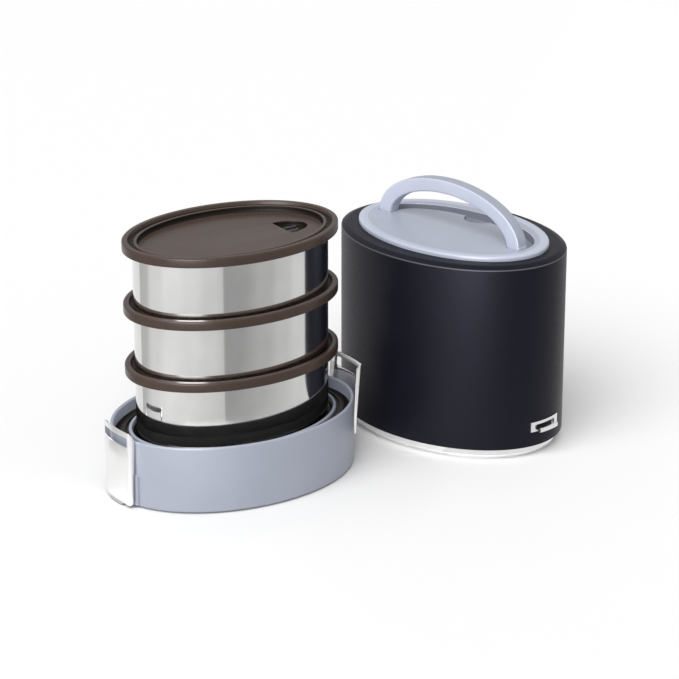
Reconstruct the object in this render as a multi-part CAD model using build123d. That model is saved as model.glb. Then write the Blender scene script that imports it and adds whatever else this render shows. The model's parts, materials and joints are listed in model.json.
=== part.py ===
from build123d import *
import math
import os

# Oval insulated tiffin carrier, all sizes in millimetres.
# Origin: centre of the base's underside. +Z up, +X along the base's long axis,
# towards the cover, which stands on the table beside the loaded base.

# ---- driving dimensions ----
SHELL_A = 91.0          # half length of the oval base and cover
SHELL_B = 66.0          # half width of the oval base and cover
BASE_HEIGHT = 48.3      # table to the base's rim
BASE_WALL = 2.5         # moulded wall of the base
BASE_FLOOR = 2.6        # moulded floor of the base

CAN_A = 72.5            # half length of a food container
CAN_B = 49.0            # half width of a food container
CAN_SHEET = 0.6         # stainless sheet
CAN_CORNER = 1.6        # rounded lower edge of a container's wall
CAN_FOOT = 4.3          # height of the narrower foot that nests in the tray below
CAN_FOOT_IN = 4.4       # the foot is drawn in by this much
CAN_STEP = 3.7          # the mouth steps out by this much, under the lid's skirt

LID_A = 79.5            # half length of a lid
LID_B = 55.5            # half width of a lid
LID_SKIRT = 6.4         # height of the lid's side
LID_PLATE = 3.4         # thickness of the lid's rim
CHANNEL_IN = 4.4        # the channel inside the rim starts here
CHANNEL_DEPTH = 2.2
RIDGE_IN = 8.0          # the low ridge between channel and tray starts here
RIDGE_DEPTH = 1.3       # ridge top below the rim
TRAY_IN = 10.4          # edge of the tray, from the lid's outer edge
LID_RECESS = 5.5        # depth of the tray that the next container's foot nests in
LID_TOPS = (90.6, 134.8, 179.0)
FIRST_CAN_BOTTOM = 28.5  # the lowest container is the deep one
STACK_GAP = 0.2         # between a lid's tray and the container standing in it

COVER_X = 182.0         # where the cover stands
COVER_Y = -7.0
COVER_TURN = -78.5      # degrees, cover's long axis from the base's long axis
COVER_WALL = 2.2
COVER_SKIRT_Z = 8.0     # lower edge of the painted wall
COVER_TOP_Z = 144.6     # top face of the painted wall
COVER_DECK = 2.4        # thickness of the cover's top deck
CEILING_Z = 139.3       # inside height of the cover's liner
RING_A = 86.6           # steel spigot ring that enters the base's rim
RING_B = 62.2
RING_SHEET = 1.2

PANEL_A = 78.8          # top panel that carries the handle
PANEL_B = 52.2
PANEL_TOP_Z = 148.2
PANEL_FLOOR_Z = 140.4   # underside of the panel's thick middle
GROOVE_FLOOR_Z = 141.4  # floor of the groove that the folded handle lies in
OPENING_A = 74.5        # opening in the cover's deck, under the panel
OPENING_B = 45.0

PIVOT_Z = 145.2         # handle pivot axis, along the cover's long axis
HANDLE_FRONT = 6.0      # handle depth in front of the pivot
HANDLE_BACK = 3.4       # handle depth behind the pivot
FOOT_IN = 56.2          # handle feet span these distances from the centre
FOOT_OUT = 67.4
HANDLE_PIN_R = 1.6

CLIP_PIN_R = 0.7        # steel pins of the clip linkage
CLIP_PIN_OUT = 1.4      # pin axes stand this far outside the base's end
CLIP_PIN_Z = 20.0       # height of the fixed pin
CLIP_LINK = 5.0         # distance between the link's two pins
CLIP_FACE_R = 100.0     # the clip plate is slightly curved across
CLIP_FACE_OUT = 4.0     # outside of the clip plate, beyond the base's end
CLIP_SHEET = 0.8
CLIP_HALF = 16.75       # half width of the clip plate
CLIP_FLANGE = 4.2       # depth of the side flanges
CLIP_BOTTOM_Z = 1.2
CLIP_TOP_Z = 55.0
CLIP_LEAN = 5.0         # degrees that the released clip leans outwards
BARREL_HALF = 4.6       # half width of the bracket's hinge barrel
KNUCKLE_OUT = 6.4       # outer side of the link's knuckles
KNUCKLE_R = 1.1
CLIP_SCREW_Y = 2.9      # the bracket's two screws, each side of the middle
WINDOW_HALF = 14.6      # half width of the window in the clip plate
WINDOW_Z = (44.4, 51.4)

CATCH_Z = (19.3, 26.6)  # lower and upper edge of the cover's catch plate
CATCH_HALF = 14.0       # half width of the catch plate
CATCH_SLOT_Z = (20.6, 24.4)
CATCH_SLOT_HALF = 9.6
CATCH_LIP_OUT = 4.6     # the hooked lip reaches this far out
CATCH_LIP_HALF = 9.2
CATCH_TAB_Y = 11.5      # two tabs through slots in the painted wall

RUNNING_GAP = 0.06      # radial clearance of a pin that turns in its hole

COVER_PLACE = Pos(COVER_X, COVER_Y, 0) * Rot(0, 0, COVER_TURN)
PARTS = {}


# ---- helpers ----
def oval(a, b, low, high):
    """Solid oval slab with half axes a and b between two heights."""
    return extrude(Pos(0, 0, low) * Ellipse(a, b), amount=high - low)


def oval_ring(outer, inner, low, high):
    """Oval ring; outer and inner are (half length, half width)."""
    return oval(*outer, low, high) - oval(*inner, low, high)


def inset(size, amount):
    """Half axes of an oval drawn in by the same amount on both axes."""
    return (size[0] - amount, size[1] - amount)


def soften(solid, height, radius):
    """Round the closed oval edges that lie at one height."""
    edges = [e for e in solid.edges() if abs(e.center().Z - height) < 1e-3]
    edges = [e for e in edges if e.bounding_box().size.Z < 1e-3]
    return fillet(edges, radius)


def block(x, y, z):
    """Box from three (low, high) pairs."""
    centre = Pos((x[0] + x[1]) / 2, (y[0] + y[1]) / 2, (z[0] + z[1]) / 2)
    return centre * Box(x[1] - x[0], y[1] - y[0], z[1] - z[0])


def rod_x(radius, x0, x1, y, z):
    """Cylinder along X."""
    return Pos((x0 + x1) / 2, y, z) * Rot(0, 90, 0) * Cylinder(radius, x1 - x0)


def rod_y(radius, x, y0, y1, z):
    """Cylinder along Y."""
    return Pos(x, (y0 + y1) / 2, z) * Rot(90, 0, 0) * Cylinder(radius, y1 - y0)


SHELL = (SHELL_A, SHELL_B)
CAN = (CAN_A, CAN_B)
LID = (LID_A, LID_B)
PANEL = (PANEL_A, PANEL_B)
RING = (RING_A, RING_B)

# The well in the base, from the inside out: bowl, lip ring, seal, wall.
BOWL_IN = inset(CAN, -2.2)
BOWL_OUT = inset(BOWL_IN, -0.8)
LIP_OUT = inset(BOWL_OUT, -2.5)
SEAL_OUT = inset(SHELL, BASE_WALL)
BOWL_FLOOR_TOP = FIRST_CAN_BOTTOM - 0.3
BOWL_RIM_Z = 40.5
LIP_TOP_Z = 42.6
SEAL_FLOOR_Z = 40.0
SEAL_LOW_Z = 36.0
SEAL_RIDGE_Z = 42.0


# ---- base ----
def clip_screw_holes(side, radius):
    """The two screw holes of one clip bracket, from inside the end wall."""
    ends = sorted((side * (SHELL_A - 8.0), side * (SHELL_A + 0.6)))
    return [rod_x(radius, ends[0], ends[1], y, CLIP_PIN_Z) for y in (-CLIP_SCREW_Y, CLIP_SCREW_Y)]


def base_outer_shell():
    """Moulded oval tub with a rounded rim and foot."""
    tub = oval(*SHELL, 0, BASE_HEIGHT)
    tub = soften(tub, 0, 2.4)
    tub -= oval(*inset(SHELL, BASE_WALL), BASE_FLOOR, BASE_HEIGHT)
    tub = soften(tub, BASE_HEIGHT, 1.1)
    for side in (-1, 1):
        for hole in clip_screw_holes(side, 1.25):
            tub -= hole
    return tub


def base_insulation():
    """Foam that fills the space between the tub and the steel bowl."""
    foam = oval(*inset(SHELL, BASE_WALL + 2.6), BASE_FLOOR + 0.1, SEAL_LOW_Z - 0.2)
    return foam - oval(*inset(BOWL_OUT, -0.1), BOWL_FLOOR_TOP - 0.9, BASE_HEIGHT)


def base_bowl():
    """Stainless bowl that the lowest container stands in."""
    bowl = oval(*BOWL_OUT, BOWL_FLOOR_TOP - 0.8, BOWL_RIM_Z)
    bowl = soften(bowl, BOWL_FLOOR_TOP - 0.8, 3.0)
    hollow = oval(*BOWL_IN, BOWL_FLOOR_TOP, BOWL_RIM_Z)
    return bowl - soften(hollow, BOWL_FLOOR_TOP, 2.2)


def base_lip_ring():
    """Moulded ring that clamps the bowl's rim and the seal's inner edge."""
    ring = oval_ring(LIP_OUT, BOWL_OUT, SEAL_LOW_Z, LIP_TOP_Z)
    return soften(ring, LIP_TOP_Z, 0.9)


def base_seal_ring():
    """Rubber seal in the channel, with one rounded ridge for the cover's rim."""
    seal = oval_ring(SEAL_OUT, LIP_OUT, SEAL_LOW_Z, SEAL_FLOOR_Z)
    ridge = oval_ring(inset(SHELL, 6.2), inset(SHELL, 10.6), SEAL_FLOOR_Z, SEAL_RIDGE_Z)
    return seal + soften(ridge, SEAL_RIDGE_Z, 1.4)


# ---- clips: bracket, pin, link, pin and sprung plate at each end ----
def wall_slab(out_low, out_high, half, low, high, radius, tip):
    """Curved sheet: outside faces run between two distances beyond the tip."""
    axis = Pos(tip + out_high - radius, 0, (low + high) / 2)
    sheet = axis * Cylinder(radius, high - low)
    sheet -= axis * Cylinder(radius - (out_high - out_low), high - low)
    return sheet & block((tip - 8.0, tip + 12.0), (-half, half), (low, high))


def clip_bracket():
    """Hinge barrel screwed to the base's end wall, for the +X end."""
    x_pin = SHELL_A + CLIP_PIN_OUT
    width = (-BARREL_HALF, BARREL_HALF)
    bracket = block((SHELL_A - 1.0, SHELL_A + 0.9), width, (CLIP_PIN_Z - 2.6, CLIP_PIN_Z + 2.6))
    bracket += block((SHELL_A, x_pin), width, (CLIP_PIN_Z - 1.15, CLIP_PIN_Z + 1.15))
    bracket += rod_y(1.15, x_pin, -BARREL_HALF, BARREL_HALF, CLIP_PIN_Z)
    bracket -= oval(*SHELL, 0, BASE_HEIGHT)
    for hole in clip_screw_holes(1, 1.2):
        bracket -= hole
    return bracket - rod_y(CLIP_PIN_R, x_pin, -BARREL_HALF, BARREL_HALF, CLIP_PIN_Z)


def clip_pin(z, half):
    """Steel pin along Y at one height, for the +X end."""
    return rod_y(CLIP_PIN_R, SHELL_A + CLIP_PIN_OUT, -half, half, z)


def clip_link(z_far):
    """Swinging link between the fixed pin and the plate's pin, for the +X end."""
    x_pin = SHELL_A + CLIP_PIN_OUT
    way = 1 if z_far > CLIP_PIN_Z else -1
    web_z = sorted((CLIP_PIN_Z + way * 3.2, z_far))
    arm_z = sorted((CLIP_PIN_Z, z_far))
    link = block((x_pin - 0.6, x_pin + 0.6), (-KNUCKLE_OUT, KNUCKLE_OUT), web_z)
    link += rod_y(KNUCKLE_R, x_pin, -KNUCKLE_OUT, KNUCKLE_OUT, z_far)
    for side in (-1, 1):
        span = sorted((side * (BARREL_HALF + 0.2), side * KNUCKLE_OUT))
        link += block((x_pin - 0.6, x_pin + 0.6), span, arm_z)
        link += rod_y(KNUCKLE_R, x_pin, span[0], span[1], CLIP_PIN_Z)
    link -= rod_y(CLIP_PIN_R + RUNNING_GAP, x_pin, -9.0, 9.0, CLIP_PIN_Z)
    return link - rod_y(CLIP_PIN_R, x_pin, -9.0, 9.0, z_far)


def clip_flange(side, tip):
    """Side flange of the clip plate, deeper towards the top."""
    edge = tip + CLIP_FACE_OUT - CLIP_FACE_R
    edge += math.sqrt(CLIP_FACE_R ** 2 - CLIP_HALF ** 2)
    outline = Plane.XZ * make_face(
        Polyline(
            (edge, CLIP_BOTTOM_Z + 1.0),
            (edge, CLIP_TOP_Z - 0.6),
            (edge - 1.6, CLIP_TOP_Z - 1.4),
            (edge - CLIP_FLANGE, CLIP_TOP_Z - 4.4),
            (edge - CLIP_FLANGE, CLIP_TOP_Z - 14.0),
            (edge - CLIP_FLANGE + 1.4, CLIP_BOTTOM_Z + 4.0),
            close=True,
        )
    )
    flange = extrude(outline, amount=CLIP_SHEET / 2, both=True)
    return Pos(0, side * (CLIP_HALF - CLIP_SHEET / 2), 0) * flange


def clip_plate(z_pin):
    """Stainless clip plate with a catch window, finger lip, flanges and ears."""
    tip = SHELL_A
    x_pin = tip + CLIP_PIN_OUT
    face_in = CLIP_FACE_OUT - CLIP_SHEET
    plate = wall_slab(face_in, CLIP_FACE_OUT, CLIP_HALF, CLIP_BOTTOM_Z, CLIP_TOP_Z, CLIP_FACE_R, tip)
    plate -= block((tip - 4.0, tip + 8.0), (-WINDOW_HALF, WINDOW_HALF), WINDOW_Z)
    lip = wall_slab(face_in, CLIP_FACE_OUT + 1.3, 12.0, CLIP_BOTTOM_Z, CLIP_BOTTOM_Z + 1.2,
                    CLIP_FACE_R + 1.3, tip)
    plate += lip
    for side in (-1, 1):
        plate += clip_flange(side, tip)
        ear_y = sorted((side * (KNUCKLE_OUT + 0.2), side * (KNUCKLE_OUT + 1.2)))
        ear = block((x_pin - 0.2, tip + face_in), ear_y, (z_pin - KNUCKLE_R, z_pin + KNUCKLE_R))
        ear += rod_y(KNUCKLE_R, x_pin, ear_y[0], ear_y[1], z_pin)
        plate += ear
    return plate - rod_y(CLIP_PIN_R + RUNNING_GAP, x_pin, -9.0, 9.0, z_pin)


def clip_set(name, side, raised):
    """All pieces of one clip; side is -1 or +1 along X, raised is the released pose."""
    z_pin = CLIP_PIN_Z - CLIP_LINK
    place = Rot(0, 0, 0 if side > 0 else 180)
    PARTS["clip_bracket_" + name] = place * clip_bracket()
    PARTS["clip_fixed_pin_" + name] = place * clip_pin(CLIP_PIN_Z, KNUCKLE_OUT)
    far_z = CLIP_PIN_Z + CLIP_LINK if raised else z_pin
    PARTS["clip_link_" + name] = place * clip_link(far_z)
    PARTS["clip_plate_pin_" + name] = place * clip_pin(far_z, KNUCKLE_OUT + 1.4)
    plate = clip_plate(z_pin)
    if raised:
        x_pin = SHELL_A + CLIP_PIN_OUT
        plate = Pos(-x_pin, 0, -z_pin) * plate
        plate = Pos(x_pin, 0, far_z) * Rot(0, CLIP_LEAN, 0) * plate
    PARTS["clip_plate_" + name] = place * plate


def clip_screws():
    """Four screws through the end walls into the brackets; heads inside the tub."""
    screws = []
    seat = SHELL_A - BASE_WALL - 0.6
    for side in (-1, 1):
        shank = sorted((side * (seat - 0.2), side * (SHELL_A + 0.6)))
        head = sorted((side * (seat - 1.2), side * seat))
        for y in (-CLIP_SCREW_Y, CLIP_SCREW_Y):
            screw = rod_x(1.2, shank[0], shank[1], y, CLIP_PIN_Z)
            screws.append(screw + rod_x(2.3, head[0], head[1], y, CLIP_PIN_Z))
    return Compound(children=screws)


# ---- containers and lids ----
def container(bottom, lid_top):
    """Drawn stainless container with a stepped mouth hidden by its lid."""
    step = lid_top - LID_SKIRT - 0.2
    mouth = lid_top - LID_PLATE - 0.2
    wall_low = bottom + CAN_FOOT
    foot = inset(CAN, CAN_FOOT_IN)
    body = soften(oval(*CAN, wall_low, step), wall_low, CAN_CORNER)
    body += soften(oval(*foot, bottom, wall_low + 1.0), bottom, 2.3)
    body += oval(*inset(CAN, -CAN_STEP), step, mouth)
    inside = inset(CAN, CAN_SHEET)
    hollow = oval(*inside, wall_low + CAN_SHEET, step + CAN_SHEET)
    hollow = soften(hollow, wall_low + CAN_SHEET, CAN_CORNER - CAN_SHEET)
    foot_hollow = oval(*inset(foot, CAN_SHEET), bottom + CAN_SHEET, wall_low + 1.0)
    hollow += soften(foot_hollow, bottom + CAN_SHEET, 2.3 - CAN_SHEET)
    hollow += oval(*inset(inside, -CAN_STEP), step + CAN_SHEET, mouth)
    return body - hollow


TRAY = inset(LID, TRAY_IN)
VENT_X = 38.5           # straight side of the vent pocket
VENT_Y = -3.7
VENT_LONG = 19.5        # the pocket bulges this far towards the lid's end
VENT_HALF = 12.4
VENT_DEPTH = 3.0
VENT_HOLE_X = 46.0
VENT_HOLE_R = 2.5


def vent_pocket(grow, low, high):
    """Half-oval plug shape of the vent pocket."""
    pocket = Pos(VENT_X, VENT_Y, 0) * oval(VENT_LONG + grow, VENT_HALF + grow, low, high)
    keep = block((VENT_X - grow, LID_A), (-LID_B, LID_B), (low - 1.0, high + 1.0))
    return pocket & keep


def lid(top):
    """Moulded lid: skirt, grooved rim, sunk tray and a vent pocket."""
    floor = top - LID_RECESS
    shell = soften(oval(*LID, top - LID_SKIRT, top), top, 1.0)
    shell -= oval(*inset(LID, 2.0), top - LID_SKIRT, top - LID_PLATE)
    cup = oval(*inset(TRAY, -1.0), floor - 1.0, top - 1.5)
    shell += soften(cup, floor - 1.0, 3.4)
    shell += vent_pocket(1.0, floor - VENT_DEPTH - 1.0, floor - 0.5)
    tray = oval(*TRAY, floor, top)
    shell -= soften(tray, floor, 2.4)
    shell -= oval_ring(inset(LID, CHANNEL_IN), inset(LID, RIDGE_IN), top - CHANNEL_DEPTH, top)
    shell -= oval_ring(inset(LID, RIDGE_IN - 0.01), TRAY, top - RIDGE_DEPTH, top)
    shell -= vent_pocket(0, floor - VENT_DEPTH, floor + 0.5)
    hole = Pos(VENT_HOLE_X, VENT_Y, floor - VENT_DEPTH) * Cylinder(VENT_HOLE_R, 6.0)
    return shell - hole


def lid_seal(top):
    """Silicone ring under the lid's rim, over the step in the container's mouth."""
    outer = inset(CAN, CAN_SHEET - CAN_STEP + 0.3)
    return oval_ring(outer, inset(TRAY, -1.05), top - 5.6, top - LID_PLATE)


def vent_plug(top):
    """Silicone plug that closes the vent hole, with a small pull tab."""
    seat = top - LID_RECESS - VENT_DEPTH
    plug = Pos(VENT_HOLE_X, VENT_Y, seat + 0.5) * Cylinder(5.4, 1.0)
    plug += Pos(VENT_HOLE_X, VENT_Y, seat - 0.75) * Cylinder(VENT_HOLE_R - 0.3, 1.9)
    tab_x = (VENT_HOLE_X - 4.4, VENT_HOLE_X + 4.4)
    tab_y = (VENT_Y - 1.1, VENT_Y + 1.1)
    return plug + block(tab_x, tab_y, (seat + 0.8, seat + 2.5))


# ---- cover, built about its own centre and placed at the end ----
def cover_outer_shell():
    """Painted outer wall and deck, open below and under the top panel."""
    wall = soften(oval(*SHELL, COVER_SKIRT_Z, COVER_TOP_Z), COVER_TOP_Z, 3.2)
    wall -= oval(*inset(SHELL, COVER_WALL), COVER_SKIRT_Z, COVER_TOP_Z - COVER_DECK)
    wall -= oval(OPENING_A, OPENING_B, COVER_SKIRT_Z, COVER_TOP_Z)
    for side in (-1, 1):
        for y in (-CATCH_TAB_Y, CATCH_TAB_Y):
            slot = sorted((side * (SHELL_A - 8.0), side * (SHELL_A + 2.0)))
            wall -= block(slot, (y - 1.5, y + 1.5), (21.5, 24.5))
    for x, y in panel_screw_places():
        wall -= Pos(x, y, COVER_TOP_Z) * Cylinder(1.5, 12.0)
    return wall


def cover_insulation():
    """Foam sleeve between the painted wall and the liner."""
    return oval_ring(inset(SHELL, COVER_WALL + 1.4), inset(LINER_OUT, -0.1), 9.6, CEILING_Z)


LINER_IN = (82.5, 57.8)
LINER_OUT = inset(LINER_IN, -0.8)


def cover_liner():
    """Steel liner, closed at the top, with a foot flange inside the ring."""
    liner = oval(*LINER_OUT, 1.0, CEILING_Z + 0.8)
    liner = soften(liner, CEILING_Z + 0.8, 3.0)
    liner += oval(*inset(RING, RING_SHEET), 1.0, 1.8)
    hollow = soften(oval(*LINER_IN, 0, CEILING_Z), CEILING_Z, 2.2)
    return liner - hollow


def cover_rim_ring():
    """Steel spigot ring with a flange held inside the painted wall."""
    ring = oval_ring(RING, inset(RING, RING_SHEET), 0, 9.4)
    ring += oval_ring(inset(SHELL, COVER_WALL), inset(RING, RING_SHEET), 8.4, 9.4)
    return ring


def panel_screw_places():
    """Four screws in the panel's flange, outside the deck's opening."""
    across = 48.6 * math.sqrt(1 - (26.0 / 76.6) ** 2)
    return [(x, y) for x in (-26.0, 26.0) for y in (-across, across)]


def handle_arch(grow, low_y, high_y):
    """Arched bar standing on the pivot axis; grow widens it all round."""
    outer = Pos(0, 147.4) * Ellipse(FOOT_OUT + grow, 35.9 + grow)
    outer += Pos(0, 146.3) * Rectangle(2 * (FOOT_OUT + grow), 2.2)
    inner = Pos(0, 146.0) * Ellipse(FOOT_IN - grow, 27.2 - grow)
    keep = Pos(0, PIVOT_Z + 40.0 - grow) * Rectangle(300, 80.0)
    arch = (outer & keep) - inner
    solid = extrude(Plane.XZ * arch, amount=high_y - low_y)
    return Pos(0, high_y, 0) * solid


def handle():
    """Carrying handle: an arch with a round boss at each foot."""
    bar = handle_arch(0, -HANDLE_FRONT, HANDLE_BACK)
    long_edges = bar.edges().filter_by(lambda e: e.length > 60)
    bar = fillet(long_edges, 2.2)
    for side in (-1, 1):
        span = sorted((side * FOOT_IN, side * FOOT_OUT))
        bar += rod_x(HANDLE_BACK, span[0], span[1], 0, PIVOT_Z)
    return bar - rod_x(HANDLE_PIN_R + RUNNING_GAP, -80, 80, 0, PIVOT_Z)


def folded(solid):
    """The same shape turned back 90 degrees about the handle's pivot."""
    return Pos(0, 0, PIVOT_Z) * Rot(-90, 0, 0) * Pos(0, 0, -PIVOT_Z) * solid


def cover_top_panel():
    """Panel with a groove for the folded handle and a finger notch."""
    panel = soften(oval(*PANEL, COVER_TOP_Z, PANEL_TOP_Z), PANEL_TOP_Z, 1.8)
    panel += oval(*inset((OPENING_A, OPENING_B), 0.3), PANEL_FLOOR_Z, COVER_TOP_Z)
    bed = folded(handle_arch(0.6, -40.0, PIVOT_Z - GROOVE_FLOOR_Z))
    panel -= bed
    notch = Pos(0, 30.0, 0) * extrude(Pos(0, 0, 143.4) * Circle(12.0), amount=10)
    panel -= notch & block((-20.0, 20.0), (0.0, 33.0), (140.0, 160.0))
    for side in (-1, 1):
        span = sorted((side * (FOOT_IN - 0.6), side * (FOOT_OUT + 0.6)))
        panel -= block(span, (-HANDLE_FRONT - 0.5, 4.2), (PIVOT_Z - 0.4, 160))
        panel -= block(span, (-HANDLE_BACK - 0.4, 4.2), (GROOVE_FLOOR_Z, 160))
    for x, y in panel_screw_places():
        panel -= Pos(x, y, COVER_TOP_Z) * Cylinder(1.2, 5.0)
    return panel - rod_x(HANDLE_PIN_R, -73.0, 73.0, 0, PIVOT_Z)


def handle_pins():
    """Two steel pins, one through each foot of the handle."""
    return Compound(children=[
        rod_x(HANDLE_PIN_R, *sorted((side * 51.0, side * 72.5)), 0, PIVOT_Z) for side in (-1, 1)
    ])


def panel_screws():
    """Four screws that hold the panel from below the deck."""
    screws = []
    for x, y in panel_screw_places():
        shank = Pos(x, y, COVER_TOP_Z - 0.3) * Cylinder(1.2, 4.6)
        head = Pos(x, y, COVER_TOP_Z - COVER_DECK - 0.7) * Cylinder(2.6, 1.4)
        screws.append(shank + head)
    return Compound(children=screws)


def around_wall(out_low, out_high, low, high):
    """Band that follows the painted wall between two distances outside it."""
    return oval_ring(inset(SHELL, -out_high), inset(SHELL, -out_low), low, high)


def catch():
    """Pressed steel catch on the cover's +X end: slotted plate, hooked lip, two tabs."""
    depth = (SHELL_A - 6.0, SHELL_A + 6.0)
    lip_top = CATCH_SLOT_Z[0] - 0.2
    plate = around_wall(0, 1.0, *CATCH_Z) & block(depth, (-CATCH_HALF, CATCH_HALF), CATCH_Z)
    plate -= block(depth, (-CATCH_SLOT_HALF, CATCH_SLOT_HALF), CATCH_SLOT_Z)
    lip = around_wall(0, CATCH_LIP_OUT, CATCH_Z[0], lip_top)
    lip += around_wall(CATCH_LIP_OUT - 0.9, CATCH_LIP_OUT, lip_top, lip_top + 2.0)
    plate += lip & block(depth, (-CATCH_LIP_HALF, CATCH_LIP_HALF), CATCH_Z)
    for y in (-CATCH_TAB_Y, CATCH_TAB_Y):
        tab = block((SHELL_A - 3.4, SHELL_A + 0.5), (y - 1.4, y + 1.4), (21.6, 24.4))
        plate += tab - around_wall(0.5, 3.0, 20.0, 26.0)
    return plate


# ---- assemble and write ----
PARTS["base_outer_shell"] = base_outer_shell()
PARTS["base_insulation"] = base_insulation()
PARTS["base_bowl"] = base_bowl()
PARTS["base_lip_ring"] = base_lip_ring()
PARTS["base_seal_ring"] = base_seal_ring()
clip_set("left", -1, raised=False)
clip_set("right", 1, raised=True)
PARTS["clip_screws"] = clip_screws()

for number, lid_top in enumerate(LID_TOPS, start=1):
    below = LID_TOPS[number - 2]
    bottom = FIRST_CAN_BOTTOM if number == 1 else below - LID_RECESS + STACK_GAP
    PARTS[f"container_{number}"] = container(bottom, lid_top)
    PARTS[f"lid_{number}"] = lid(lid_top)
    PARTS[f"lid_seal_{number}"] = lid_seal(lid_top)
    PARTS[f"vent_plug_{number}"] = vent_plug(lid_top)

COVER_PARTS = {
    "cover_outer_shell": cover_outer_shell(),
    "cover_insulation": cover_insulation(),
    "cover_liner": cover_liner(),
    "cover_rim_ring": cover_rim_ring(),
    "cover_top_panel": cover_top_panel(),
    "panel_screws": panel_screws(),
    "catch_front": catch(),
    "catch_rear": Rot(0, 0, 180) * catch(),
    "handle_pins": handle_pins(),
    "handle": handle(),
}
for name, solid in COVER_PARTS.items():
    PARTS[name] = COVER_PLACE * solid

os.makedirs("parts", exist_ok=True)
for name, solid in PARTS.items():
    export_step(solid, f"parts/{name}.step")
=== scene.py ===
import json
import math

import bmesh
import bpy
from mathutils import Matrix, Vector
from mathutils.geometry import tessellate_polygon


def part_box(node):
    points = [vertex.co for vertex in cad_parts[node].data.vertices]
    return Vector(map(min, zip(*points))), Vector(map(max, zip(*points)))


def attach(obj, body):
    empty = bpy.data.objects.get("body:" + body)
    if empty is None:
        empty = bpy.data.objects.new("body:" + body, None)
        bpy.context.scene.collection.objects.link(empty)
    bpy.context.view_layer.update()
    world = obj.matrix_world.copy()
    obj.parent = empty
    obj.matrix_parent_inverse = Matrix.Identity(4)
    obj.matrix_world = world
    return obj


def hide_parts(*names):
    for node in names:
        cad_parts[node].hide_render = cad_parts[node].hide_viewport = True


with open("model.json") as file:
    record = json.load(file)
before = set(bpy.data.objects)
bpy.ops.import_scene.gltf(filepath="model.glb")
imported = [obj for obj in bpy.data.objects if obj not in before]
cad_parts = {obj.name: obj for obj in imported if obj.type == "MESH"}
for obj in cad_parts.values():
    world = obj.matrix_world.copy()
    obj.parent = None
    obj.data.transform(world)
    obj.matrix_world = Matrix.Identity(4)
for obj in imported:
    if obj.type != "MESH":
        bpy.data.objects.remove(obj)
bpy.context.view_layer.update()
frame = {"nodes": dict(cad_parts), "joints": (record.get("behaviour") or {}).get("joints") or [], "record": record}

# An opened oval tiffin carrier: the base with its stack of containers, and the cover beside it.
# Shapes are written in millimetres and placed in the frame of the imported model. Their sizes come
# from the boxes of its nodes. A section is a list of (inset, height, radius) corners: the inset
# is measured inwards from an oval, and the radius rounds the corner.
MM = 0.001
SEGMENTS = 256          # points round an oval
ARC_STEPS = 6           # faces across a rounded corner
SHARP_ANGLE = math.radians(38)


# ---- sizes read from the frame ----
def box_mm(node):
    """Low and high corner of a node, in millimetres."""
    low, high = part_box(node)
    return low / MM, high / MM


def half_axes(node):
    """Half length and half width of an oval node that stands along X."""
    low, high = box_mm(node)
    return ((high.x - low.x) / 2, (high.y - low.y) / 2)


def joint(name):
    """The joint of that name."""
    return next(j for j in frame["joints"] if j["name"] == name)


SHELL = half_axes("base_outer_shell")
LID = half_axes("lid_3")
BOWL = half_axes("base_bowl")
LIP = half_axes("base_lip_ring")
SEAL = half_axes("base_seal_ring")
MOUTH_STEP = 3.7        # a container's mouth stands this far out from its wall
MOUTH = half_axes("container_3")
CAN = (MOUTH[0] - MOUTH_STEP, MOUTH[1] - MOUTH_STEP)
FOLD = joint("handle_fold")
COVER_CENTRE = Vector(FOLD["pos_m"])
COVER_TURN = math.atan2(FOLD["axis"][1], FOLD["axis"][0]) - math.pi
COVER_PLACE = Matrix.Translation((COVER_CENTRE.x, COVER_CENTRE.y, 0))
COVER_PLACE = COVER_PLACE @ Matrix.Rotation(COVER_TURN, 4, "Z")
PIVOT_Z = COVER_CENTRE.z / MM


# ---- mesh helpers ----
def fillet_path(corners, closed=False):
    """Points through (x, y, radius) corners, with an arc in place of each rounded one."""
    points = []
    for i, (x, y, radius) in enumerate(corners):
        here = Vector((x, y))
        if radius <= 0 or (not closed and i in (0, len(corners) - 1)):
            points.append(here)
            continue
        before = Vector(corners[i - 1][:2]) - here
        after = Vector(corners[(i + 1) % len(corners)][:2]) - here
        half = before.angle(after) / 2
        reach = min(radius / math.tan(half), 0.48 * before.length, 0.48 * after.length)
        towards = (before.normalized() + after.normalized()).normalized()
        centre = here + towards * (reach / math.cos(half))
        start = here + before.normalized() * reach - centre
        stop = here + after.normalized() * reach - centre
        turn = math.atan2(start.x * stop.y - start.y * stop.x, start.dot(stop))
        for k in range(ARC_STEPS + 1):
            points.append(centre + Matrix.Rotation(turn * k / ARC_STEPS, 2) @ start)
    return points


def oval_points(half, count=SEGMENTS, centre=(0, 0)):
    """Points round an oval, counter-clockwise."""
    turns = [2 * math.pi * k / count for k in range(count)]
    x, y = centre
    return [Vector((x + half[0] * math.cos(t), y + half[1] * math.sin(t))) for t in turns]


def loop(bm, points, z):
    """New vertices at one height."""
    return [bm.verts.new((p.x, p.y, z)) for p in points]


def bridge(bm, first, second):
    """Faces between two closed loops of the same length."""
    for i in range(len(first)):
        j = (i + 1) % len(first)
        bm.faces.new((first[i], first[j], second[j], second[i]))


def fill(bm, outer, *holes):
    """Flat face inside one loop, around the holes in it."""
    loops = [outer, *holes]
    verts = [v for one in loops for v in one]
    for triangle in tessellate_polygon([[v.co for v in one] for one in loops]):
        bm.faces.new([verts[i] for i in triangle])


def sweep(bm, half, path, centre=(0, 0)):
    """Surface swept round an oval through (inset, height) points; returns its end loops."""
    rings = []
    for inset, z in path:
        points = oval_points((half[0] - inset, half[1] - inset), centre=centre)
        rings.append(loop(bm, points, z))
    for low, high in zip(rings, rings[1:]):
        bridge(bm, low, high)
    return rings[0], rings[-1]


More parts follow.
